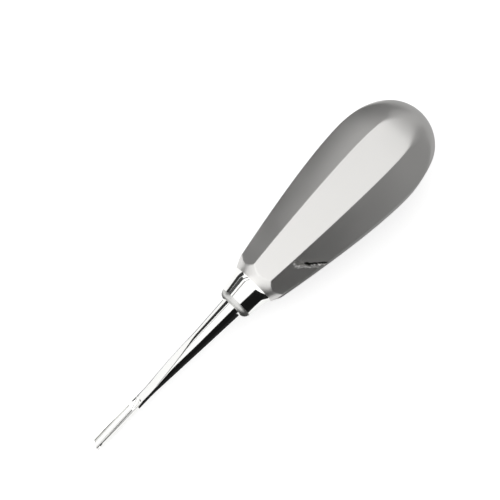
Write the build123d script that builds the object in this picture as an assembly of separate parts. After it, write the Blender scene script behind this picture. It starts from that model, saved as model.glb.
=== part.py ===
from build123d import *
import os
from math import cos, radians, sin, tan

# Dental elevator: a gouge blade on a tapered shank, a turned collar, and a hollow
# octagonal pear handle. Sizes are millimetres and degrees.
# The tool is drawn along +X with the cutting edge at station 0, then laid down on
# a table, where it rests on one handle facet and on the tip of the blade.

# Handle
overall_length = 140.0
fattest_station = 119.0
half_flat = 14.8            # half the size across flats at the fattest place
neck_half_flat = 7.9        # the same, at the mouth of the neck
neck_taper = 10.8           # slope of the facets where they leave the neck
facet_tail = 23.3           # length over which the facets curve in towards the butt
turned_radius = 16.3        # radius of the turned blank, just outside the facet edges
facets = 8
handle_wall = 1.2
neck_wall = 4.0             # thickness of the closed front end of the handle
flare_angle = 25.0          # slope of the turned flare that cuts the facets off at the neck

# Collar
nose_station = 58.2
nose_length = 2.0
nose_radius = 4.0
nose_bulge = 0.16           # how far the nose bows out of a straight chamfer
band_radius = 5.55
band_taper = 10.0
lip_fillet = 5.0            # hollow round from the band up to the lip
lip_angle = 33.0            # slope of the lip where it meets the handle
collar_length = 9.2
spigot_radius = 4.4
spigot_length = 7.5
fit_gap = 0.05              # soldering gap around the spigot and the tang

# Shank and tang
shank_radius = 3.37
middle_station = 44.0
middle_width = 5.3
middle_thickness = 5.2
shank_bays = 3              # sections from the waist to the middle, and on to the collar
tang_radius = 2.7
tang_length = 20.0

# Blade
blade_width = 4.0
toe_station = 3.5
toe_width = 4.1
toe_depth = 1.8
belly_station = 8.5
belly_width = 4.2
belly_depth = 1.93          # from the axis of the tool to the back of the blade
heel_station = 15.0
heel_width = 4.35
heel_depth = 1.45
waist_station = 23.0
waist_width = 4.5
waist_thickness = 1.9
edge_depth = 1.45           # depth of the back at the cutting edge
corner_width = 1.2          # the rounded corners of the edge, longer than they are wide
corner_length = 2.1
blade_roll = 52.0           # turn of the hollow side away from the top facet

# Scoop
scoop_radius = 1.9
edge_floor = 1.39           # depth of the scoop's floor at the cutting edge
scoop_rise = 1.9            # slope of the floor, rising towards the shank
ramp_station = 15.0
ramp_angle = 20.0

# Lengths of the cutting tools beyond the metal they cut
overcut = 5.0


def facet_height(inset):
    """Upper outline of one pair of facets, from the neck's mouth over the belly to the butt."""
    mouth = (mouth_station, neck_half_flat - inset)
    crown = (fattest_station, half_flat - inset)
    bend = (mouth[0] + (crown[1] - mouth[1]) / tan(radians(neck_taper)), crown[1])
    belly = Bezier(mouth, bend, crown)
    tail = EllipticalCenterArc(
        (fattest_station, 0), facet_tail - inset, half_flat - inset, arc_size=90
    )
    return Curve([belly, tail])


def facet_pair(inset):
    """A bar whose top and bottom are two opposite facets of the handle."""
    upper = facet_height(inset)
    lower = mirror(upper, about=Plane.XZ)
    mouth = Line((mouth_station, neck_half_flat - inset), (mouth_station, inset - neck_half_flat))
    outline = make_face(upper.edges() + lower.edges() + [mouth])
    return extrude(Plane.XZ * outline, amount=2 * turned_radius, both=True)


def turned_blank(inset):
    """The turned pear before its facets are ground: flare at the neck, dome at the butt."""
    radius = turned_radius - inset
    mouth = mouth_radius - inset
    flare_end = mouth_station + (radius - mouth) / tan(radians(flare_angle))
    dome = EllipticalCenterArc(
        (fattest_station, 0), dome_length - inset, radius, arc_size=90
    )
    front = Polyline(
        (fattest_station + dome_length - inset, 0),
        (mouth_station, 0),
        (mouth_station, mouth),
        (flare_end, radius),
        (fattest_station, radius),
    )
    outline = make_face([dome] + front.edges())
    return revolve(outline, Axis.X)


def pear(inset):
    """The faceted pear, or with an inset the same form that much inside it."""
    body = turned_blank(inset)
    for pair in range(facets // 2):
        body = body & facet_pair(inset).rotate(Axis.X, pair * 360 / facets)
    return body


def make_handle():
    """Hollow pear with a closed front end, bored for the collar's spigot."""
    front = cylinder_along(mouth_station - overcut, mouth_station + neck_wall, 2 * turned_radius)
    cavity = pear(handle_wall) - front
    bore = cylinder_along(mouth_station - overcut, fattest_station, spigot_radius + fit_gap)
    return pear(0) - cavity - bore


def cylinder_along(start, end, radius):
    """A round bar on the tool's axis between two stations."""
    return extrude(Plane.YZ.offset(start) * Circle(radius), amount=end - start)


def make_collar():
    """Turned ring: convex nose, polished band, fillet that starts the flare, spigot behind."""
    bore = tang_radius + fit_gap
    spigot_end = mouth_station + spigot_length
    nose_front = (nose_station, nose_radius)
    middle = (
        nose_station + nose_length / 2 - nose_bulge,
        (nose_radius + band_radius) / 2 + nose_bulge,
    )
    nose = ThreePointArc(nose_front, middle, (band_station, band_radius))
    band = Line((band_station, band_radius), (fillet_station, fillet_radius))
    fillet_arc = JernArc(band @ 1, band % 1, lip_fillet, lip_angle - band_taper)
    back = Polyline(
        fillet_arc @ 1,
        (mouth_station, spigot_radius),
        (spigot_end, spigot_radius),
        (spigot_end, bore),
        (nose_station, bore),
        nose_front,
    )
    outline = make_face([nose, band, fillet_arc] + back.edges())
    return revolve(outline, Axis.X)


def section(station, width, top, bottom):
    """An oval across the tool, between a height above the axis and a depth below it."""
    centre = Plane.YZ.offset(station) * Pos(0, (top - bottom) / 2)
    return centre * Ellipse(width / 2, (top + bottom) / 2)


def taper(start, end, bays):
    """Ovals that lead in equal steps from one oval's sizes to another's, without the first."""
    steps = [step / bays for step in range(1, bays + 1)]
    return [section(*[a + (b - a) * step for a, b in zip(start, end)]) for step in steps]


def forging():
    """Blank of the shank and blade: round at the collar, thin at the waist, wide at the tip."""
    top = waist_thickness / 2
    waist = (waist_station, waist_width, top, top)
    middle = (middle_station, middle_width, middle_thickness / 2, middle_thickness / 2)
    collar = (nose_station, 2 * shank_radius, shank_radius, shank_radius)
    blade = [
        section(0, blade_width, top, edge_depth),
        section(toe_station, toe_width, top, toe_depth),
        section(belly_station, belly_width, top, belly_depth),
        section(heel_station, heel_width, top, heel_depth),
        section(*waist),
    ]
    return loft(blade + taper(waist, middle, shank_bays) + taper(middle, collar, shank_bays))


def scoop():
    """Round-nosed cutter: it runs in at the edge, then lifts out up the ramp."""
    rise = tan(radians(scoop_rise))
    depth = scoop_radius - edge_floor
    start = Vector(-overcut, 0, depth - overcut * rise)
    turn = Vector(ramp_station, 0, depth + ramp_station * rise)
    lift = 4 * overcut
    end = turn + Vector(lift * cos(radians(ramp_angle)), 0, lift * sin(radians(ramp_angle)))
    path = Polyline(start, turn, end)
    return sweep(Plane(start, z_dir=path % 0) * Circle(scoop_radius), path, transition=Transition.RIGHT)


def tip_outline():
    """Plan of the blade seen from its hollow side: a short flat edge with rounded corners."""
    side = blade_width / 2 + overcut
    flat = blade_width / 2 - corner_width
    left = EllipticalCenterArc((corner_length, flat), corner_length, corner_width, 90, arc_size=90)
    right = mirror(left, about=Plane.XZ)
    edge = Line((0, flat), (0, -flat))
    rest = Polyline(
        (corner_length, blade_width / 2),
        (corner_length, side),
        (nose_station, side),
        (nose_station, -side),
        (corner_length, -side),
        (corner_length, -blade_width / 2),
    )
    plan = make_face([left, edge] + right.edges() + rest.edges())
    return extrude(plan, amount=blade_width, both=True)


def make_blade():
    """Forged and ground: the blank less its scoop, trimmed at the tip, with its tang."""
    blank = forging() & tip_outline()
    tang = cylinder_along(nose_station, nose_station + tang_length, tang_radius)
    return (blank - scoop()).rotate(Axis.X, -blade_roll) + tang


# Places that follow from the sizes above
dome_length = overall_length - fattest_station
mouth_station = nose_station + collar_length
band_station = nose_station + nose_length
fillet_station = mouth_station - lip_fillet * (sin(radians(lip_angle)) - sin(radians(band_taper)))
fillet_radius = band_radius + (fillet_station - band_station) * tan(radians(band_taper))
mouth_radius = fillet_radius + lip_fillet * (cos(radians(band_taper)) - cos(radians(lip_angle)))


def lowest(piece, tilt):
    """Lowest point of a piece when the tool is tipped nose down about its cutting edge."""
    return piece.rotate(Axis.Y, -tilt).bounding_box(optimal=True).min.Z


def resting_tilt(handle, blade):
    """Angle at which the handle and the blade touch the table together, by bisection."""
    low, high = 0.0, 15.0
    while high - low > 0.0005:
        tilt = (low + high) / 2
        if lowest(handle, tilt) < lowest(blade, tilt):
            low = tilt
        else:
            high = tilt
    return (low + high) / 2


pieces = {"handle": make_handle(), "collar": make_collar(), "blade": make_blade()}
tilt = resting_tilt(pieces["handle"], pieces["blade"])
laid = {name: piece.rotate(Axis.Y, -tilt) for name, piece in pieces.items()}
box = Compound([piece.solid() for piece in laid.values()]).bounding_box(optimal=True)
to_origin = Location((-(box.min.X + box.max.X) / 2, -(box.min.Y + box.max.Y) / 2, -box.min.Z))

os.makedirs("parts", exist_ok=True)
for name, piece in laid.items():
    export_step(to_origin * piece.solid(), f"parts/{name}.step")
print("resting tilt", round(tilt, 3), "moved by", to_origin.position)
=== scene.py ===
# %% [markdown]
# A dental elevator, dressed in Blender
#
# The real tool is stainless steel all through: a forged gouge blade on a tapered shank, a turned
# collar, and a hollow eight-sided pear handle that is bead-blasted to a satin. Nothing on it is
# painted, so everything the eye gets comes from the shape, from how smooth each surface was left,
# and from what stands around it. This script builds the three pieces as fine meshes, gives each
# one its steel, and lays them in a small photographer's studio.

import math

import bpy
import bmesh
import numpy as np
from mathutils import Matrix, Vector


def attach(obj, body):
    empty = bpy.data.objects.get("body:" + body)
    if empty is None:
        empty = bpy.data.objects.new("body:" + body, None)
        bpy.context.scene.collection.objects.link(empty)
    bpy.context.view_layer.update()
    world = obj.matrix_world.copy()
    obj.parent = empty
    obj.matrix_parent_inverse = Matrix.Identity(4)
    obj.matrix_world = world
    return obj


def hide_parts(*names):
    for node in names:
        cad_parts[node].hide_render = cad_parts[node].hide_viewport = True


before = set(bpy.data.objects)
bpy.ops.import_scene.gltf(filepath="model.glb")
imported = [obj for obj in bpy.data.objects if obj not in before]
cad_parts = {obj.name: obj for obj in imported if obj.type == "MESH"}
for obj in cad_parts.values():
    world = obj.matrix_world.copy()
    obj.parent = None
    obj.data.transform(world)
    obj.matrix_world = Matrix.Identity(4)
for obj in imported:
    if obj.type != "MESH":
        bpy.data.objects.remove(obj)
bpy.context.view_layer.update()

# %% [markdown]
# How the tool lies
#
# It is easiest to draw a turned tool along its own axis, with the cutting edge at zero, and to lay
# it down afterwards. A place along the axis is called a station, as on a drawing. On a table the
# tool rests on one flat of the handle and on the tip of the blade, so its axis rises a few degrees
# towards the butt. Turning each Blender object would do the same, but an object has to sit at the
# origin here, so one function lays down the points themselves. It also turns the drawing's
# millimetres into Blender's metres.

# %% Lay the tool down
MM = 0.001
# both as the part's source worked them out
RESTING_TILT = math.radians(6.541)
RESTING_SHIFT = (-69.5484, 0.0, 1.83614)


def laid_down(points):
    """Points drawn along the tool's axis, in millimetres, to their places on the table."""
    x, y, z = points[..., 0], points[..., 1], points[..., 2]
    along = x * math.cos(RESTING_TILT) - z * math.sin(RESTING_TILT) + RESTING_SHIFT[0]
    up = x * math.sin(RESTING_TILT) + z * math.cos(RESTING_TILT) + RESTING_SHIFT[2]
    return np.stack([along, y + RESTING_SHIFT[1], up], axis=-1) * MM


def face_places(mesh):
    """Station, side and height above the axis of the middle of every face."""
    places = np.empty(len(mesh.polygons) * 3)
    mesh.polygons.foreach_get("center", places)
    x, y, z = (places.reshape(-1, 3) / MM - RESTING_SHIFT).T
    station = x * math.cos(RESTING_TILT) + z * math.sin(RESTING_TILT)
    return station, y, z * math.cos(RESTING_TILT) - x * math.sin(RESTING_TILT)


print("the drawing's origin lies at", laid_down(np.zeros(3)))

# %% [markdown]
# Rings into a skin
#
# All three pieces are long and round, so each one is a stack of rings with the same number of
# points. Joining every ring to the next gives clean four-sided faces that follow the shape, which
# is what a mirror finish needs: a cut made with booleans would leave long thin faces that show in
# the reflections. A ring may shrink to one point, and the doubled points there are merged.

# %% Join rings into a mesh
MERGE = 0.0008 * MM  # points closer than this become one
CREASE = math.radians(28)


def skin(name, rings, closed=False, capped=False):
    """A smooth-shaded mesh over rings of equal length; edges sharper than a crease stay sharp."""
    count, around = rings.shape[:2]
    mesh = bpy.data.meshes.new(name)
    maker = bmesh.new()
    rows = [[maker.verts.new(point) for point in ring] for ring in laid_down(rings)]
    for row in range(count if closed else count - 1):
        here, there = rows[row], rows[(row + 1) % count]
        for column in range(around):
            following = (column + 1) % around
            maker.faces.new((here[column], here[following], there[following], there[column]))
    if capped:
        maker.faces.new(rows[0])
    bmesh.ops.remove_doubles(maker, verts=maker.verts, dist=MERGE)
    bmesh.ops.dissolve_degenerate(maker, edges=maker.edges, dist=MERGE)
    bmesh.ops.recalc_face_normals(maker, faces=maker.faces)
    for face in maker.faces:
        face.smooth = True
    for edge in maker.edges:
        edge.smooth = edge.is_manifold and edge.calc_face_angle() < CREASE
    maker.to_mesh(mesh)
    open_edges = sum(not edge.is_manifold for edge in maker.edges)
    maker.free()
    piece = bpy.data.objects.new(name, mesh)
    bpy.context.scene.collection.objects.link(piece)
    print(name, len(mesh.polygons), "faces, open edges:", open_edges)
    return piece


# %% [markdown]
# The handle's two outlines
#
# A pear handle is made in two steps: a round pear is turned, and eight flats are ground on it. Each
# step has its own outline along the tool. Where the flats are lower than the turned outline they
# win, and near the neck and the butt the turned form is lower and shows. The flats' outline is a
# Bezier curve over the belly and an ellipse at the tail. The turned one is a flare that starts with
# a hollow round, and a dome of two arcs: a wide shoulder and a rounder end. Formulas are used
# rather than a drawn curve, because the radius is needed at any station.

# %% Outlines of the pear
MOUTH = 67.4  # station of the handle's front end, against the collar
MOUTH_RADIUS = 7.2189  # a hair inside the collar's lip
FATTEST = 119.0
BUTT = 140.0
FACETS = 8
HALF_FLAT = 14.8  # half the size across the flats at the fattest place
NECK_HALF_FLAT = 7.9  # the same at the mouth
BELLY_BEND = 0.7  # share of the way to the fattest place where the curve's handle point lies
FACET_TAIL = 23.3  # length over which the flats curve in towards the butt
TURNED_RADIUS = 16.3
FLARE_RADIUS = 13.0
FLARE_START = math.radians(20)
FLARE_END = math.radians(45)
SHOULDER_RADIUS = 25.2


def flat_height(station):
    """Distance of a flat from the tool's axis at a station."""
    bend = MOUTH + BELLY_BEND * (FATTEST - MOUTH)
    travelled = np.clip(station, MOUTH, FATTEST) - MOUTH
    # along the Bezier curve, a t^2 + b t is the distance travelled, so t is a root of that
    a = MOUTH - 2 * bend + FATTEST
    b = 2 * (bend - MOUTH)
    t = (-b + np.sqrt(b * b + 4 * a * travelled)) / (2 * a)
    belly = HALF_FLAT - (HALF_FLAT - NECK_HALF_FLAT) * (1 - t) ** 2
    tail = np.clip((station - FATTEST) / FACET_TAIL, 0, 1)
    return belly * np.sqrt(1 - tail**2)


def flare_height(station):
    """The turned flare: a hollow round from the collar's lip, then a straight cone."""
    centre = MOUTH - FLARE_RADIUS * math.sin(FLARE_START)
    height = MOUTH_RADIUS + FLARE_RADIUS * math.cos(FLARE_START)
    leave = centre + FLARE_RADIUS * math.sin(FLARE_END)
    reach = np.clip(station - centre, 0, leave - centre)
    cone = np.maximum(station - leave, 0) * math.tan(FLARE_END)
    return height - np.sqrt(FLARE_RADIUS**2 - reach**2) + cone


def dome_height(station):
    """The dome: a shoulder arc and an end arc, tangent to each other."""
    length = BUTT - FATTEST
    twice_end = 2 * TURNED_RADIUS * SHOULDER_RADIUS - length**2 - TURNED_RADIUS**2
    end_radius = twice_end / (2 * (SHOULDER_RADIUS - length))
    turn = math.atan2(length - end_radius, SHOULDER_RADIUS - TURNED_RADIUS)
    along = np.clip(station - FATTEST, 0, length)
    shoulder = TURNED_RADIUS - SHOULDER_RADIUS + np.sqrt(SHOULDER_RADIUS**2 - along**2)
    end = np.sqrt(np.maximum(end_radius**2 - (along - length + end_radius) ** 2, 0))
    return np.where(along < SHOULDER_RADIUS * math.sin(turn), shoulder, end)


def turned_height(station):
    """Radius of the turned pear at a station."""
    return np.minimum(flare_height(station), dome_height(station))


print("half flat at the fattest place", flat_height(np.array([FATTEST])))

# %% [markdown]
# Edges softened by the blasting
#
# Steel edges are never knife-sharp after grinding and bead blasting. Cutting the flats and beveling
# their edges would do, but the bevel breaks up where the flats fade into the dome. So the radius is
# worked out in every direction as a soft minimum of the outlines: a high power makes it follow
# whichever outline is lowest, and rounds the place where two of them cross. The higher the power,
# the crisper the edge.

# %% Radius of the pear in any direction
EDGE_CRISPNESS = 150.0
LEAST_FACING = 0.3  # cosine: a flat that is turned further away than this can't be the nearest
TINY = 1e-6


def pear_radius(station, angle, inset=0.0):
    """Radius of the faceted pear, or of its hollow when there is an inset."""
    shape = np.broadcast(station, angle).shape
    outlines = [np.broadcast_to(turned_height(station) - inset, shape)]
    for facet in range(FACETS):
        facing = np.cos(angle - facet * 2 * math.pi / FACETS)
        outlines.append((flat_height(station) - inset) / np.maximum(facing, LEAST_FACING))
    outlines = np.maximum(np.stack(outlines), TINY)
    lowest = outlines.min(axis=0)
    return lowest * ((lowest / outlines) ** EDGE_CRISPNESS).sum(axis=0) ** (-1 / EDGE_CRISPNESS)


print("radius on an edge", pear_radius(np.array(FATTEST), np.array(math.pi / FACETS)))

# %% [markdown]
# The nick in the handle
#
# Low on the flat that faces the camera's right there is a ragged nick: a dark jagged line from the
# edge of the top flat to the next edge, with metal pushed up into a bright burr on the side of the
# neck. A bump in the material would vanish at the outline of the handle, so it is real geometry:
# the path is a few points on the handle, and the radius is lowered near the path and raised beside
# it. Two waves that don't fit each other make its width and its burr ragged.

# %% Path and depth of the nick
NICK_PATH = [
    # station, angle round the tool from the top flat in degrees
    (79.7, 23.5),
    (80.3, 31.0),
    (81.3, 38.5),
    (82.4, 44.5),
    (82.8, 49.5),
    (84.1, 55.0),
    (84.7, 59.0),
    (85.8, 62.6),
    (86.6, 67.0),
    (87.5, 71.5),
]
NICK_DEPTH = 0.75
NICK_HALF_WIDTH = 0.46
NICK_SHARPNESS = 0.7  # under 1 the groove is steepest at its rim, over 1 at its bottom
NICK_END_RISE = 9.0  # one over the share of the path in which the groove fades out
RAGGED_SHARE = 0.3
RAGGED_WAVES = (61, 23)
BURR_HEIGHT = 0.34
BURR_WIDTH = 0.6
BURR_CREST = 1.3  # distance of its crest from the path, in half widths of the nick
BURR_FOOT = 0.9  # the same where it starts
BURR_FAR_SIDE = 0.25  # share of its height on the side of the butt
BURR_ALONG = (0.0, 0.15, 0.4, 0.6, 1.0)
BURR_SHARE = (0.8, 1.6, 1.4, 0.7, 0.7)
TOWARDS_CAMERA_RIGHT = -1


def around_tool(radius, angle):
    """Points on a circle about the tool's axis; the angle starts at the top flat."""
    side = TOWARDS_CAMERA_RIGHT * radius * np.sin(angle)
    return side, radius * np.cos(angle)


def nick_measures(station, angle):
    """Distance from the nick's path, the side of it, and how far along it, for each point."""
    station, angle = np.broadcast_arrays(station, angle)
    path = np.array([(x, math.radians(a)) for x, a in NICK_PATH])
    reach = flat_height(station) / math.cos(math.pi / FACETS)
    best = np.full(station.shape, np.inf)
    side = np.zeros_like(best)
    share = np.zeros_like(best)
    for index, (start, end) in enumerate(zip(path[:-1], path[1:])):
        run_x, run_a = end[0] - start[0], reach * (end[1] - start[1])
        here_x, here_a = station - start[0], reach * (angle - start[1])
        t = np.clip((run_x * here_x + run_a * here_a) / (run_x**2 + run_a**2), 0, 1)
        distance = np.hypot(here_x - t * run_x, here_a - t * run_a)
        nearer = distance < best
        best = np.where(nearer, distance, best)
        side = np.where(nearer, np.sign(run_x * here_a - run_a * here_x), side)
        share = np.where(nearer, (index + t) / (len(path) - 1), share)
    return best, side, share


def nick_height(station, angle):
    """How much the nick lowers the surface, or its burr raises it."""
    distance, side, share = nick_measures(station, angle)
    wave, cross_wave = RAGGED_WAVES
    ragged = 1 + RAGGED_SHARE * np.sin(share * wave) * np.sin(share * cross_wave + 1)
    groove = np.clip(1 - distance / (NICK_HALF_WIDTH * ragged), 0, 1)
    ends = np.clip(np.minimum(share, 1 - share) * NICK_END_RISE, 0, 1)
    crest = np.exp(-(((distance - BURR_CREST * NICK_HALF_WIDTH) / (BURR_WIDTH * ragged)) ** 2))
    outside = distance > BURR_FOOT * NICK_HALF_WIDTH * ragged
    burr = np.where(side > 0, crest, BURR_FAR_SIDE * crest) * outside
    burr *= np.interp(share, BURR_ALONG, BURR_SHARE)
    return ends * (BURR_HEIGHT * burr * ragged - NICK_DEPTH * groove**NICK_SHARPNESS)


print("the nick is", NICK_DEPTH, "mm deep")

# %% [markdown]
# The handle
#
# The rings need to be close together only where something happens: where the flare cuts the flats,
# around the nick, and where the flats fade into the dome. In the same way the points of a ring
# crowd near the eight edges. The hollow inside is the same pear, a wall's thickness smaller, with a
# thicker wall at both ends. It opens to the neck through the bore, so the handle is a real shell
# and not a lump.

# %% Build the handle
HANDLE_WALL = 1.2
NECK_WALL = 4.0
BUTT_WALL = 5.0
BORE_RADIUS = 4.45
RING_RUNS = [
    # from station, to station, step between rings
    (MOUTH, 69.4, 0.25),
    (69.4, 73.2, 0.12),
    (73.2, 79.6, 0.4),
    (79.6, 88.2, 0.14),
    (88.2, FATTEST, 1.1),
]
DOME_RINGS = 64
HOLLOW_RINGS = 24
# degrees from an edge to each point beside it, up to nearly the middle of a flat
EDGE_STEPS = np.radians([0, 0.25, 0.55, 0.95, 1.5, 2.3, 3.4, 5, 7, 9.2, 11.5, 14, 16.7, 19.6])
NICK_FACET = 1
NICK_STEPS = 44


def handle_angles():
    """Angles of a ring's points: crowded at every edge, and even across the nicked flat."""
    half = math.pi / FACETS
    angles = []
    for facet in range(FACETS):
        middle = facet * 2 * half
        if facet == NICK_FACET:
            angles.extend(np.linspace(middle - half, middle + half, NICK_STEPS, endpoint=False))
            continue
        rising = middle - half + EDGE_STEPS
        angles.extend([*rising, middle, *(middle + half - EDGE_STEPS[:0:-1])])
    return np.array(angles)


def dome_stations(length, count):
    """Stations from the fattest place on, closer together towards the end of the dome."""
    return FATTEST + length * np.sin(np.linspace(0, math.pi / 2, count))


def ring_points(station, radius, angle):
    """Rings of points from stations, radii and angles."""
    side, up = around_tool(radius, angle)
    return np.stack([station + 0 * radius, side, up], axis=-1)


def handle_outside(angle):
    """The outer rings, from the mouth to a point at the butt."""
    runs = [np.arange(*run) for run in RING_RUNS]
    station = np.concatenate([*runs, dome_stations(BUTT - FATTEST, DOME_RINGS)])[:, None]
    radius = pear_radius(station, angle) + nick_height(station, angle)
    radius[-1] = 0
    return ring_points(station, radius, angle)


def handle_inside(angle):
    """The rings of the hollow, from a flat end near the butt to the mouth of the bore."""
    front = MOUTH + NECK_WALL
    barrel = np.linspace(front, FATTEST, HOLLOW_RINGS)[:-1]
    dome = dome_stations(BUTT - FATTEST - BUTT_WALL, HOLLOW_RINGS)
    station = np.concatenate([barrel, dome, [BUTT - BUTT_WALL]])[::-1, None]
    radius = pear_radius(station, angle, HANDLE_WALL)
    radius[0] = 0
    bore = np.array([front, MOUTH])[:, None]
    bored = ring_points(bore, np.full((2, angle.size), BORE_RADIUS), angle)
    return np.concatenate([ring_points(station, radius, angle), bored])


def make_handle():
    """The handle's skin, from the far end of its hollow, out through the bore, to the butt."""
    angle = handle_angles()[None, :]
    return skin("pear_handle", np.concatenate([handle_inside(angle), handle_outside(angle)]))


handle = make_handle()
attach(handle, "root")
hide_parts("handle")

# %% [markdown]
# The collar
#
# The collar is turned on a lathe, so one outline swept round the axis is all of it: a bowed nose, a
# slightly conical band that is polished like a mirror, and a fillet that opens into the flare of
# the handle. Behind the lip it steps down to a spigot that sits in the handle's neck. The edge
# between nose and band is broken by a tiny chamfer, as a turner does with a file, because that is
# what catches the thin bright line at an edge. The outline is a short list of arcs and lines and
# not a drawn profile, so each radius can be read and changed.

# %% Build the collar
NOSE = 58.2
NOSE_LENGTH = 2.0
NOSE_RADIUS = 4.0
NOSE_ROUND = 2.4  # radius of the bow between the nose's front and the band
BAND_RADIUS = 5.55
BAND_SLOPE = math.radians(10)
BAND_START = NOSE + NOSE_LENGTH
LIP_FILLET = 5.0
LIP_SLOPE = math.radians(33)
SPIGOT_RADIUS = 4.4
SPIGOT_LENGTH = 7.5
COLLAR_BORE = 2.75
EDGE_BREAK = 0.09
NOSE_POINTS = 17
BAND_POINTS = 10
FILLET_POINTS = 14
ROUND_STEPS = 288


def nose_outline():
    """Points of the bow, from the nose's front to the band."""
    rise = BAND_RADIUS - NOSE_RADIUS
    chord = math.hypot(NOSE_LENGTH, rise)
    sunk = math.sqrt(NOSE_ROUND**2 - chord**2 / 4) / chord
    centre_x = NOSE + NOSE_LENGTH / 2 + sunk * rise
    centre_r = NOSE_RADIUS + rise / 2 - sunk * NOSE_LENGTH
    first = math.atan2(NOSE_RADIUS - centre_r, NOSE - centre_x)
    last = math.atan2(BAND_RADIUS - centre_r, BAND_START - centre_x)
    return [
        (centre_x + NOSE_ROUND * math.cos(turn), centre_r + NOSE_ROUND * math.sin(turn))
        for turn in np.linspace(first, last, NOSE_POINTS)
    ]


def collar_outline():
    """Station and radius of each point of the collar's outline, all the way round it."""
    nose = [(x, r) for x, r in nose_outline() if x < BAND_START - EDGE_BREAK]
    fillet_start = MOUTH - LIP_FILLET * (math.sin(LIP_SLOPE) - math.sin(BAND_SLOPE))
    fillet_radius = BAND_RADIUS + (fillet_start - BAND_START) * math.tan(BAND_SLOPE)
    band = [
        (x, BAND_RADIUS + (x - BAND_START) * math.tan(BAND_SLOPE))
        for x in np.linspace(BAND_START + EDGE_BREAK, fillet_start, BAND_POINTS)
    ]
    centre_x = fillet_start - LIP_FILLET * math.sin(BAND_SLOPE)
    centre_r = fillet_radius + LIP_FILLET * math.cos(BAND_SLOPE)
    fillet = [
        (centre_x + LIP_FILLET * math.sin(slope), centre_r - LIP_FILLET * math.cos(slope))
        for slope in np.linspace(BAND_SLOPE, LIP_SLOPE, FILLET_POINTS)[1:]
    ]
    behind = [
        (MOUTH, SPIGOT_RADIUS),
        (MOUTH + SPIGOT_LENGTH, SPIGOT_RADIUS),
        (MOUTH + SPIGOT_LENGTH, COLLAR_BORE),
        (NOSE, COLLAR_BORE),
    ]
    print("lip station and radius", fillet[-1])
    return np.array(nose + band + fillet + behind)


def make_collar():
    """The collar's outline swept round the axis."""
    outline = collar_outline()
    angle = np.linspace(0, 2 * math.pi, ROUND_STEPS, endpoint=False)[None, :]
    radius = outline[:, 1:2] + 0 * angle
    return skin("turned_collar", ring_points(outline[:, 0:1], radius, angle), closed=True)


collar = make_collar()
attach(collar, "root")
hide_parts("collar")

# %% [markdown]
# The blade and shank
#
# One forging runs from the cutting edge to the tang inside the collar. It is a round bar, bent a
# little so that its middle line rises towards the waist, and ground flat on top from the tip to the
# neck. A curve with a bevel would give a round bar, but not one with a flat on it. So a short table
# holds the bar's sizes at a few stations, and a running average rounds the places where one stretch
# meets the next.

# %% The round bar under the blade
BAR = np.array(
    [
        # station, radius, height of the middle line, height of the flat top
        (0.0, 2.05, 0.62, 0.7),
        (2.7, 2.05, 0.45, 0.682),
        (23.0, 2.05, 0.7, 0.55),
        (44.0, 2.63, 0.0, 2.63),
        (NOSE, 3.37, 0.0, 3.37),
    ]
)
BAR_BLEND = 1.5
BLEND_SAMPLES = 9


def bar(station):
    """Radius, middle height and top height of the forging at a station."""
    near = station + min(BAR_BLEND, station) * np.linspace(-1, 1, BLEND_SAMPLES)
    return tuple(float(np.interp(near, BAR[:, 0], BAR[:, k]).mean()) for k in (1, 2, 3))


print("bar at the waist", bar(BAR[2, 0]))

# %% [markdown]
# The scoop and the rounded tip
#
# A round-nosed cutter has scooped a trough along the flat, which leaves two narrow rims. It runs in
# level at the edge and then climbs out up a ramp, and that gives the tongue-shaped runout seen on
# every gouge. The corners of the edge are rounded so that they don't tear. A boolean cut would be
# quicker to write, but its ragged faces would show in the polish, so the height of the trough is a
# formula, and the rims lie where it comes up to the flat.

# %% Height of the trough and width of the tip
SCOOP_RADIUS = 1.9
EDGE_FLOOR = 1.39
SCOOP_RISE = math.radians(1.9)
RAMP = 15.0
RAMP_ANGLE = math.radians(20)
CUTTER_BLEND = 0.05
BLADE_WIDTH = 4.0
CORNER_WIDTH = 1.2
CORNER_LENGTH = 2.1
HALVINGS = 40


def trough_height(station, side):
    """Height of the scooped surface: a level run, then the ramp, with a small blend between."""
    chord = math.sqrt(max(SCOOP_RADIUS**2 - side**2, 0))
    centre = SCOOP_RADIUS - EDGE_FLOOR + station * math.tan(SCOOP_RISE)
    turn = SCOOP_RADIUS - EDGE_FLOOR + RAMP * math.tan(SCOOP_RISE)
    level = centre - chord / math.cos(SCOOP_RISE)
    ramp = turn + (station - RAMP) * math.tan(RAMP_ANGLE) - chord / math.cos(RAMP_ANGLE)
    return (level + ramp + math.sqrt((level - ramp) ** 2 + CUTTER_BLEND**2)) / 2


def tip_half_width(station):
    """Half width that the rounded corners of the cutting edge leave."""
    if station >= CORNER_LENGTH:
        return BLADE_WIDTH
    back = (CORNER_LENGTH - station) / CORNER_LENGTH
    return BLADE_WIDTH / 2 - CORNER_WIDTH + CORNER_WIDTH * math.sqrt(max(1 - back**2, 0))


def last_below(low, high, is_below):
    """The highest value between two at which the test still holds, by halving."""
    for _ in range(HALVINGS):
        middle = (low + high) / 2
        if is_below(middle):
            low = middle
        else:
            high = middle
    return low


def rim(station, top):
    """Half width of the trough at the height of the flat top."""
    if trough_height(station, 0.0) >= top:
        return 0.0
    return last_below(0.0, SCOOP_RADIUS, lambda side: trough_height(station, side) < top)


def runout_end():
    """Station where the climbing cutter leaves the flat top."""
    return last_below(RAMP, 2 * RAMP, lambda x: trough_height(x, 0.0) < bar(x)[2])


print("scoop floor at the edge", trough_height(0.0, 0.0))
print("the scoop runs out at", runout_end())

# %% [markdown]
# Rings of the blade
#
# Every ring of the blade has two runs of points: one round the bar from rim to rim, the other back
# over the narrow lands and through the trough. The rims are where the runs meet, so they are true
# edges of the mesh and stay crisp. Behind the runout the second run crosses the flat, whose edges
# grow softer until the neck has become a round shank.

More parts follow.
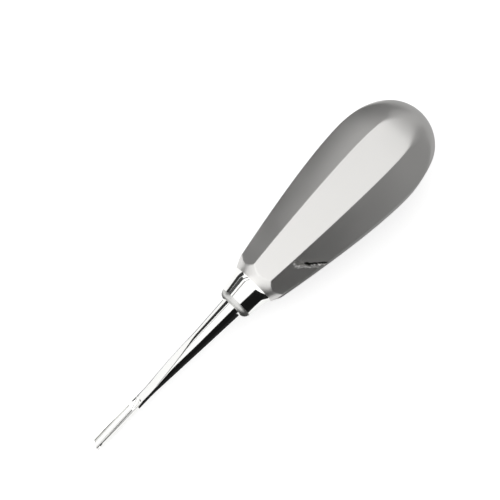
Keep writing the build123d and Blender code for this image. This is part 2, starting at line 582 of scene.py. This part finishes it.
# %% Build the blade
BAR_STEPS = 104
TROUGH_STEPS = 40
NECK_SOFTENING = 6.0  # length behind the runout over which the flat's edges grow soft
NECK_CRISPNESS = (300.0, 26.0)  # power of the soft minimum before and after that
HUB_DROP = 1.0
FLATTEST = 0.01  # least sine, so that the flat's distance stays a number
TANG_RADIUS = 2.7
TANG_LENGTH = 20.0
BLADE_ROLL = math.radians(-52)


def scooped_ring(station):
    """One closed ring of the blade ahead of the runout, in the drawing frame before the roll."""
    radius, middle, top = bar(station)
    limit = tip_half_width(station)
    edge = rim(station, top)
    if edge > limit:
        edge, top = limit, trough_height(station, limit)
    start = math.asin(max(min((top - middle) / radius, 1), -1))
    points = []
    for angle in np.linspace(start, -math.pi - start, BAR_STEPS):
        side = max(min(radius * math.cos(angle), limit), -limit)
        points.append((station, side, middle + radius * math.sin(angle)))
    reach = math.asin(min(edge / SCOOP_RADIUS, 1))
    points.append((station, -edge, top))
    for share in np.linspace(-1, 1, TROUGH_STEPS):
        side = SCOOP_RADIUS * math.sin(reach * share)
        points.append((station, side, min(trough_height(station, side), top)))
    return points + [(station, edge, top)]


def neck_ring(station, leave):
    """One ring behind the runout: a round bar with a flat top, whose edges grow softer.

    It is drawn from a hub that lies below the bar's middle, where every direction meets the
    outline once: the nearer of the bar and the flat top wins, softly.
    """
    radius, middle, top = bar(station)
    crisp = np.interp(station, (leave, leave + NECK_SOFTENING), NECK_CRISPNESS)
    over_hub = top - middle + HUB_DROP
    start = math.atan2(over_hub, math.sqrt(max(radius**2 - (top - middle) ** 2, 0)))
    below = np.linspace(start, -math.pi - start, BAR_STEPS)
    above = np.linspace(math.pi - start, start, TROUGH_STEPS + 2)
    angle = np.concatenate([below, above])
    round_part = HUB_DROP * np.sin(angle) + np.sqrt(radius**2 - (HUB_DROP * np.cos(angle)) ** 2)
    flat_part = over_hub / np.maximum(np.sin(angle), FLATTEST)
    reach = round_part * (1 + (round_part / flat_part) ** crisp) ** (-1 / crisp)
    height = middle - HUB_DROP + reach * np.sin(angle)
    return np.stack([station + 0 * angle, reach * np.cos(angle), height], axis=-1).tolist()


def round_ring(station, radius):
    """A round ring with the same order of points as a neck ring."""
    angles = np.linspace(math.pi / 2, -3 * math.pi / 2, BAR_STEPS)
    points = [(station, radius * math.cos(a), radius * math.sin(a)) for a in angles]
    return points + [points[-1]] * (TROUGH_STEPS + 2)


def rolled(points):
    """Points of the blade turned about the tool's axis, hollow side to the camera's left."""
    x, y, z = points[..., 0], points[..., 1], points[..., 2]
    side = y * math.cos(BLADE_ROLL) - z * math.sin(BLADE_ROLL)
    up = y * math.sin(BLADE_ROLL) + z * math.cos(BLADE_ROLL)
    return np.stack([x, side, up], axis=-1)


# %% Skin of the blade
CORNER_RINGS = 30
CORNER_GAP = 0.25  # from the last of them to the next ring
BLADE_STEP = 0.35
RAMP_STEP = 0.15
RAMP_LEAD = 1.5  # how far ahead of the ramp the finer rings begin
RUNOUT_RINGS = 16
RUNOUT_CROWD = 0.9  # length ahead of the runout's end over which the rings crowd together
RUNOUT_GAP = 0.05  # kept free ahead of those
NECK_GAP = 0.1  # from the runout's end to the first ring of the neck
NECK_STEP = 0.4
SHANK_FROM = 26.0
SHANK_STEP = 0.8


def blade_stations(leave):
    """Stations of the rings: close together at the corners, on the ramp and at the runout."""
    corner = CORNER_LENGTH * (1 - np.cos(np.linspace(0, math.pi / 2, CORNER_RINGS)))
    crowding = (1 - np.linspace(0, 1, RUNOUT_RINGS)) ** 2
    return np.concatenate(
        [
            corner,
            np.arange(CORNER_LENGTH + CORNER_GAP, RAMP - RAMP_LEAD, BLADE_STEP),
            np.arange(RAMP - RAMP_LEAD, leave - RUNOUT_CROWD - RUNOUT_GAP, RAMP_STEP),
            leave - RUNOUT_CROWD * crowding,
            np.arange(leave + NECK_GAP, SHANK_FROM, NECK_STEP),
            np.arange(SHANK_FROM, NOSE, SHANK_STEP),
            [NOSE],
        ]
    )


def make_blade():
    """The blade's skin, from the cutting edge to the end of the hidden tang."""
    leave = runout_end()
    rings = [
        scooped_ring(float(x)) if x <= leave else neck_ring(float(x), leave)
        for x in blade_stations(leave)
    ]
    tang_end = NOSE + TANG_LENGTH
    tang = [(NOSE, TANG_RADIUS), (tang_end, TANG_RADIUS), (tang_end, 0.0)]
    rings += [round_ring(station, radius) for station, radius in tang]
    print("rings of the blade", len(rings))
    return skin("gouge_blade", rolled(np.array(rings)), capped=True)


blade = make_blade()
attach(blade, "root")
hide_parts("blade")

# %% [markdown]
# One steel, left in three ways, and painted shade in the nick
#
# All of it is the same stainless steel. What tells the surfaces apart is how each was left: bead
# blasting covers it with tiny dents, which spread every reflection to a soft grey sheen, and the
# polishing wheel leaves it so smooth that it mirrors the room. A texture painted with stripes and
# highlights could copy one picture, but would look wrong from every other side. So the materials
# are fully metallic, have colours near that of real steel, and differ in roughness and in bump.
# Only the dark steel in the nick's groove is painted shade.

# %% Helpers for materials
SOFT_NOISE = (0.3, 0.7)  # the noise texture hardly ever leaves this range


def linear(hex_colour):
    """An sRGB hex colour as the linear colour that the shaders use."""
    parts = [int(hex_colour[k : k + 2], 16) / 255 for k in (1, 3, 5)]
    light = [v / 12.92 if v <= 0.04045 else ((v + 0.055) / 1.055) ** 2.4 for v in parts]
    return (*light, 1.0)


def add(tree, kind, settings=None, *in_order, **by_name):
    """Adds a node with its settings and links.

    Links are given in the order of the node's sockets, or by the sockets' names. The value of one
    is a number, a colour or another node's socket.
    """
    node = tree.nodes.new(kind)
    for name, value in (settings or {}).items():
        setattr(node, name, value)
    links = list(enumerate(in_order))
    links += [(name.replace("_", " "), value) for name, value in by_name.items()]
    for place, value in links:
        if isinstance(value, bpy.types.NodeSocket):
            tree.links.new(value, node.inputs[place])
        else:
            node.inputs[place].default_value = value
    return node


def new_material(name):
    """An empty node material, and the socket that its shader goes to."""
    material = bpy.data.materials.new(name)
    material.use_nodes = True
    material.node_tree.nodes.clear()
    return material, add(material.node_tree, "ShaderNodeOutputMaterial").inputs["Surface"]


print("steel in linear light", linear("#CBCAC8"))

# %% [markdown]
# Bead-blasted satin stainless steel
#
# Glass beads shot at the handle leave dents of about a tenth of a millimetre. To the eye that is an
# even, silvery grey that goes from light to dark slowly and never shows a sharp reflection. The
# dents are finer than a pixel here, so the grain is drawn a few times coarser, only as strong as is
# needed for the surface not to look like plastic. Wide, faint clouds in the roughness are where the
# hand has polished it.

# %% Bead-blasted satin stainless steel
SATIN_COLOUR = "#CBCAC8"
SATIN_ROUGHNESS = (0.33, 0.39)
GRAIN_SIZE = 0.35 * MM
DENT_DEPTH = 0.02 * MM
DENT_STRENGTH = 0.12
CLOUD_SIZE = 9.0 * MM


def satin_steel():
    """Even grey sheen with a fine grain."""
    material, surface = new_material("bead_blasted_stainless_steel")
    tree = material.node_tree
    place = add(tree, "ShaderNodeTexCoord").outputs["Object"]
    grain = add(
        tree,
        "ShaderNodeTexNoise",
        Vector=place,
        Scale=1 / GRAIN_SIZE,
        Detail=2.0,
        Roughness=0.6,
    )
    cloud = add(
        tree,
        "ShaderNodeTexNoise",
        Vector=place,
        Scale=1 / CLOUD_SIZE,
        Detail=3.0,
        Roughness=0.5,
    )
    sheen = add(
        tree,
        "ShaderNodeMapRange",
        None,
        cloud.outputs["Fac"],
        *SOFT_NOISE,
        *SATIN_ROUGHNESS,
    )
    dents = add(
        tree,
        "ShaderNodeBump",
        Strength=DENT_STRENGTH,
        Distance=DENT_DEPTH,
        Height=grain.outputs["Fac"],
    )
    steel = add(
        tree,
        "ShaderNodeBsdfPrincipled",
        Base_Color=linear(SATIN_COLOUR),
        Metallic=1.0,
        Roughness=sheen.outputs["Result"],
        Normal=dents.outputs["Normal"],
    )
    tree.links.new(steel.outputs["BSDF"], surface)
    return material


handle.data.materials.append(satin_steel())
print("handle material", handle.data.materials[0].name)

# %% [markdown]
# Painted shade in the nick
#
# The bottom of the nick is nearly black in the photograph. Depth alone would only make it grey,
# because so shallow a groove still sees most of the room, so the faces in the groove get a dark,
# dull steel of their own. That dark colour is painted shade in the groove.

# %% Painted shade in the nick
# painted shade: the dark colour given to the faces in the nick's groove
NICK_SHADE_COLOUR = "#3A3836"
NICK_SHADE_ROUGHNESS = 0.55
SHADE_START = 0.3  # share of the path left without painted shade, where the burr is highest
SHADE_WIDTH = 0.8  # share of the groove's width
SHADE_REACH = 0.1  # how far below the bottom of the groove a face may be and still count


def plain_steel(name, colour, roughness):
    """Steel of one colour and one roughness all over."""
    material, surface = new_material(name)
    steel = add(
        material.node_tree,
        "ShaderNodeBsdfPrincipled",
        Base_Color=linear(colour),
        Metallic=1.0,
        Roughness=roughness,
    )
    material.node_tree.links.new(steel.outputs["BSDF"], surface)
    return material


def paint_faces(piece, material, chosen):
    """Gives the chosen faces of a piece a second material."""
    piece.data.materials.append(material)
    slot = len(piece.data.materials) - 1
    for index in np.flatnonzero(chosen):
        piece.data.polygons[index].material_index = slot
    print(material.name, "on", int(chosen.sum()), "faces")


def in_the_nick(mesh):
    """Which faces of the handle lie in the nick's groove."""
    station, side, height = face_places(mesh)
    angle = np.arctan2(TOWARDS_CAMERA_RIGHT * side, height)
    distance, _, share = nick_measures(station, angle)
    outside = np.hypot(side, height) > flat_height(station) - NICK_DEPTH - SHADE_REACH
    return outside & (share > SHADE_START) & (distance < SHADE_WIDTH * NICK_HALF_WIDTH)


# the faces in the nick's groove get the painted shade
nick_shade = plain_steel("painted_shade_steel", NICK_SHADE_COLOUR, NICK_SHADE_ROUGHNESS)
paint_faces(handle, nick_shade, in_the_nick(handle.data))

# %% [markdown]
# Mirror-polished stainless steel
#
# The collar, the shank and the blade were polished on a wheel. They show hard-edged black and white
# stripes: the lamp, the table and whatever dark stands round them. They are never a perfect mirror,
# because fine lines from the last wheel stay in the surface. The lines are far too thin to draw, so
# they are given as a low roughness that drifts a little from place to place.

# %% Mirror-polished stainless steel
POLISHED_COLOUR = "#E6E6E4"
POLISHED_ROUGHNESS = (0.04, 0.08)
HAZE_SIZE = 2.5 * MM


def polished_steel():
    """A mirror with a breath of haze."""
    material, surface = new_material("mirror_polished_stainless_steel")
    tree = material.node_tree
    haze = add(
        tree,
        "ShaderNodeTexNoise",
        Vector=add(tree, "ShaderNodeTexCoord").outputs["Object"],
        Scale=1 / HAZE_SIZE,
        Detail=3.0,
        Roughness=0.6,
    )
    shine = add(
        tree,
        "ShaderNodeMapRange",
        None,
        haze.outputs["Fac"],
        *SOFT_NOISE,
        *POLISHED_ROUGHNESS,
    )
    steel = add(
        tree,
        "ShaderNodeBsdfPrincipled",
        Base_Color=linear(POLISHED_COLOUR),
        Metallic=1.0,
        Roughness=shine.outputs["Result"],
    )
    tree.links.new(steel.outputs["BSDF"], surface)
    return material


mirror_steel = polished_steel()
collar.data.materials.append(mirror_steel)
blade.data.materials.append(mirror_steel)
print("collar and blade material", mirror_steel.name)

# %% [markdown]
# Turned stainless steel on the nose
#
# The bowed nose of the collar was turned but hardly polished: in the photograph it is an even light
# grey beside the black and white stripes of the band. Its tool marks are too fine to see, so a
# higher roughness is all it needs. The nose isn't a piece of its own, so only its faces get it.

# %% Turned stainless steel on the nose
TURNED_COLOUR = "#BEBEBC"
TURNED_ROUGHNESS = 0.38

station, _, _ = face_places(collar.data)
turned_steel = plain_steel("turned_stainless_steel", TURNED_COLOUR, TURNED_ROUGHNESS)
paint_faces(collar, turned_steel, station < BAND_START - EDGE_BREAK)

# %% [markdown]
# A pale table and a pale room
#
# Catalogue pictures of steel tools are taken on white. Turning the light up until the table is
# white would bleach the tool too. So the table and the world are plain and pale, and a mix by Light
# Path makes them white only to the camera and in reflections, while the light that reaches the tool
# stays at its plain level. The shadow must not vanish, so the table's own shading is kept and only
# lifted towards white.

# %% Floor and room
WHITE = linear("#FFFFFF")
TABLE_COLOUR = "#C4C4C4"
TABLE_SIZE = 6.0
FLOOR_LIFT = 0.56
ROOM_LIGHT = 0.5


def seen_directly(tree):
    """One where a ray comes straight from the camera or from a mirror or glass, else zero."""
    path = add(tree, "ShaderNodeLightPath").outputs
    most = {"operation": "MAXIMUM"}
    either = add(tree, "ShaderNodeMath", most, path["Is Camera Ray"], path["Is Glossy Ray"])
    every = add(tree, "ShaderNodeMath", most, either.outputs[0], path["Is Transmission Ray"])
    return every.outputs[0]


def white_card():
    """Pale card, lifted to white for the camera and for reflections."""
    material, surface = new_material("white_card")
    tree = material.node_tree
    card = add(tree, "ShaderNodeBsdfDiffuse", Color=linear(TABLE_COLOUR)).outputs[0]
    lift = add(tree, "ShaderNodeEmission", Color=WHITE, Strength=FLOOR_LIFT).outputs[0]
    lifted = add(tree, "ShaderNodeAddShader", None, card, lift).outputs[0]
    mix = add(tree, "ShaderNodeMixShader", None, seen_directly(tree), card, lifted)
    tree.links.new(mix.outputs[0], surface)
    return material


def set_up(name, points, faces, material):
    """A mesh of the studio, which isn't part of the tool."""
    mesh = bpy.data.meshes.new(name)
    mesh.from_pydata(points, [], faces)
    mesh.materials.append(material)
    piece = bpy.data.objects.new(name, mesh)
    bpy.context.scene.collection.objects.link(piece)
    return piece


def rectangle(x0, x1, y0, y1, height):
    """Points and face of a level rectangle."""
    corners = [(x0, y0, height), (x1, y0, height), (x1, y1, height), (x0, y1, height)]
    return corners, [(0, 1, 2, 3)]


def make_world():
    """A room that is white to look at, and lights the tool at its plain level."""
    world = bpy.data.worlds.new("pale_room")
    bpy.context.scene.world = world
    world.use_nodes = True
    tree = world.node_tree
    tree.nodes.clear()
    level = add(
        tree,
        "ShaderNodeMapRange",
        Value=seen_directly(tree),
        To_Min=ROOM_LIGHT,
        To_Max=1.0,
    )
    glow = add(tree, "ShaderNodeBackground", Color=WHITE, Strength=level.outputs["Result"])
    add(tree, "ShaderNodeOutputWorld", Surface=glow.outputs[0])
    world.cycles.sampling_method = "NONE"


half_table = TABLE_SIZE / 2
table = rectangle(-half_table, half_table, -half_table, half_table, 0)
set_up("table_top", *table, white_card())
make_world()
print("room light", ROOM_LIGHT)

# %% [markdown]
# A softbox and its reflections
#
# Polished steel has no shade of its own: it only shows what stands round it. So the studio is built
# for its reflections. One big softbox hangs over the tool, a little to its upper-left side. It is
# an area lamp, whose size decides how soft the shadow is and how wide its stripe on the steel. A
# sun or a point lamp would give a hard shadow, and only a dot in the polish.

# %% Softbox
SOFTBOX_DISTANCE = 0.6
SOFTBOX_LEAN = math.radians(17)
SOFTBOX_SPAN = math.radians(47)  # half the angle that it spans, seen from the tool
SOFTBOX_LENGTH = 1.6
SOFTBOX_SHIFT = -0.25
SOFTBOX_GLOW = 1.2


def make_softbox():
    """A rectangle of even light that faces the tool."""
    width = 2 * SOFTBOX_DISTANCE * math.tan(SOFTBOX_SPAN)
    lamp = bpy.data.lights.new("softbox", "AREA")
    lamp.shape = "RECTANGLE"
    lamp.size = SOFTBOX_LENGTH
    lamp.size_y = width
    lamp.energy = SOFTBOX_GLOW * math.pi * SOFTBOX_LENGTH * width
    box = bpy.data.objects.new("softbox", lamp)
    aside = SOFTBOX_DISTANCE * math.sin(SOFTBOX_LEAN)
    above = SOFTBOX_DISTANCE * math.cos(SOFTBOX_LEAN)
    box.location = (SOFTBOX_SHIFT, aside, above)
    box.rotation_euler = (-SOFTBOX_LEAN, 0, 0)
    box.visible_camera = False
    bpy.context.scene.collection.objects.link(box)
    print("softbox", SOFTBOX_LENGTH, "by", round(width, 3), "m,", round(lamp.energy, 2), "W")


make_softbox()

# %% [markdown]
# Sheets for the reflections
#
# Everything else that stands round the tool is a sheet. A photographer would use black and grey
# card, but here a real card would throw a shadow on the table, and how dark it looks would depend
# on the lamp. So each sheet glows with a plain grey of its own and is hidden from every kind of ray
# but the reflected ones.

# %% A sheet that only reflections see
# x in metres, just ahead of the collar and near the butt, between which the grey changes
GREY_FROM, GREY_TO = -0.015, 0.06


def sheet(name, points, faces, tip_grey, butt_grey):
    """A glowing sheet seen only in reflections; its grey runs along the tool from tip to butt."""
    material, surface = new_material(name + "_paper")
    tree = material.node_tree
    place = add(
        tree,
        "ShaderNodeSeparateXYZ",
        Vector=add(tree, "ShaderNodeTexCoord").outputs["Object"],
    )
    grey = add(
        tree,
        "ShaderNodeMapRange",
        None,
        place.outputs["X"],
        GREY_FROM,
        GREY_TO,
        tip_grey,
        butt_grey,
    )
    paper = add(tree, "ShaderNodeEmission", Color=WHITE, Strength=grey.outputs["Result"])
    tree.links.new(paper.outputs[0], surface)
    card = set_up(name, points, faces, material)
    for kind in ("camera", "diffuse", "transmission", "volume_scatter", "shadow"):
        setattr(card, "visible_" + kind, False)


# %% [markdown]
# Dark card round the tool
#
# A polished bar in a white room is white on white, and only dark card gives it a shape. A wide dark
# ceiling hangs behind the softbox, because a lamp doesn't hide from a mirror what lies behind it,
# and the white room would be added to its light. Narrower strips are bent round the tool: wide ones
# at both sides for the black bands along the shank, and thin ones for the fine lines in between.
# Each is given by the directions that it fills, seen from the tool, because on a round bar that is
# what decides where its reflection falls. Those that would darken the gouge end at the neck,
# because it is white to its rims.

# %% Cards bent round the tool
CARD_AXIS_HEIGHT = 0.015  # metres above the table
BEND_STEP = 4  # degrees
NECK_X = -0.052  # where the gouge ends and the black bands begin
CARDS = {
    # name: first and last direction in degrees from straight up, towards +Y; radius in metres;
    # first and last x in metres; grey at the tip's end and at the butt's end
    "ceiling": (-80, 80, 0.9, -1.5, 1.5, 0.1, 0.1),
    "card_right": (-102, -35, 0.06, NECK_X, 0.3, 0.01, 0.34),
    "card_left_high": (41, 45, 0.3, -0.45, 0.45, 0.02, 0.02),
    "card_left_middle": (59, 65, 0.3, -0.45, 0.45, 0.02, 0.02),
    "card_left_low": (66, 80, 0.3, NECK_X, 0.45, 0.03, 0.02),
    "card_left": (83, 112, 0.06, NECK_X, 0.3, 0.05, 0.03),
}


def make_card(name, start, end, radius, x0, x1, tip_grey, butt_grey):
    """A strip bent round the tool's axis."""
    steps = max(2, abs(end - start) // BEND_STEP)
    points = []
    for k in range(steps + 1):
        angle = math.radians(start + (end - start) * k / steps)
        for x in (x0, x1):
            height = CARD_AXIS_HEIGHT + radius * math.cos(angle)
            points.append((x, radius * math.sin(angle), height))
    faces = [(2 * k, 2 * k + 1, 2 * k + 3, 2 * k + 2) for k in range(steps)]
    sheet(name, points, faces, tip_grey, butt_grey)


for name, values in CARDS.items():
    make_card(name, *values)
print(len(CARDS), "cards")

# %% [markdown]
# Walls and mats
#
# Two upright walls stand past the ends of the tool: a bright one that the flare of the handle
# mirrors, and a grey one for the dome. Mats lie along the tool on the table, again only for
# reflections: the dark ones below the shank and beside the handle are painted shadow, the table's
# shade under and beside the tool as the polish sees it, and they give the undersides the dark lines
# that polished steel shows; a grey one lies past the butt. Darkening the table itself would do the
# same to the metal, but it would also show in the picture.

# %% Walls and mats
WALLS = {
    # name: x, half width and height in metres, grey
    "wall_tip": (-0.5, 1.0, 0.75, 1.5),
    "wall_butt": (0.5, 1.0, 0.8, 0.6),
}
NOSE_X = -0.0108  # where the shank ends, in the collar's nose
HANDLE_X = -0.001  # under the front of the handle
BUTT_X = 0.075  # just past the butt
MATS = {
    # name: first and last x, first and last y in metres, grey at the tip's end and the butt's end
    # painted shadow: the next three dark mats stand for the table's shade under and beside the
    # tool, seen only in reflections
    "shadow_under_shank": (NECK_X, NOSE_X, -0.012, 0.011, 0.03, 0.03),
    "shadow_right_of_shank": (NECK_X, NOSE_X, -0.2, -0.012, 0.02, 0.02),
    "shadow_right_of_handle": (HANDLE_X, BUTT_X, -0.2, -0.006, 0.02, 0.4),
    "mat_butt": (BUTT_X, 0.4, -0.2, 0.2, 0.55, 0.55),
}
MAT_LIFT = 0.1 * MM

for name, (x, half, height, grey) in WALLS.items():
    corners = [(x, -half, 0), (x, half, 0), (x, half, height), (x, -half, height)]
    sheet(name, corners, [(0, 1, 2, 3)], grey, grey)
for name, (x0, x1, y0, y1, tip_grey, butt_grey) in MATS.items():
    sheet(name, *rectangle(x0, x1, y0, y1, MAT_LIFT), tip_grey, butt_grey)
print(len(WALLS), "walls and", len(MATS), "mats")

# %% [markdown]
# The camera
#
# The photograph looks almost straight down on the tool, from a little on the blade's side, with the
# tool running from the lower left to the upper right. The camera could be pushed about by eye until
# the outlines match. Here it is worked out from the tool's own axis, so that each angle has a name
# and can be changed by itself. It stands 0.6 metres away, as for a small tool on a table, and the
# lens is chosen so that the frame is as wide as in the photograph.

# %% Place the camera
VIEW_DISTANCE = 0.6
FRAME_WIDTH = 0.1497
SENSOR_WIDTH = 36.0
TOWARDS_TIP = math.radians(5.0)
TOWARDS_RIGHT = math.radians(4.5)
TOOL_TURN = math.radians(45.58)
AIM_STATION = 74.09
AIM_ASIDE = 7.97
CLIP = (0.01, 50.0)


def place_camera():
    """A camera at the photograph's viewing angle."""
    axis = Vector((math.cos(RESTING_TILT), 0, math.sin(RESTING_TILT)))
    over = Vector((-math.sin(RESTING_TILT), 0, math.cos(RESTING_TILT)))
    side = Vector((0, -1, 0))
    leaning = math.cos(TOWARDS_RIGHT) * over + math.sin(TOWARDS_RIGHT) * side
    back = math.cos(TOWARDS_TIP) * leaning - math.sin(TOWARDS_TIP) * axis
    along = (axis - axis.dot(back) * back).normalized()
    upper_left = back.cross(along)
    right = math.cos(TOOL_TURN) * along - math.sin(TOOL_TURN) * upper_left
    up = back.cross(right)
    aim = Vector(laid_down(np.array([AIM_STATION, 0.0, 0.0]))) + upper_left * AIM_ASIDE * MM
    lens = bpy.data.cameras.new("photo_camera")
    lens.sensor_width = SENSOR_WIDTH
    lens.lens = SENSOR_WIDTH * VIEW_DISTANCE / FRAME_WIDTH
    lens.clip_start, lens.clip_end = CLIP
    camera = bpy.data.objects.new("photo_camera", lens)
    turn = Matrix((right, up, back)).transposed().to_4x4()
    camera.matrix_world = Matrix.Translation(aim + back * VIEW_DISTANCE) @ turn
    bpy.context.scene.collection.objects.link(camera)
    bpy.context.scene.camera = camera
    print("camera at", [round(v, 4) for v in camera.location], "lens", round(lens.lens, 1), "mm")


place_camera()
bpy.context.scene.view_settings.view_transform = "Standard"
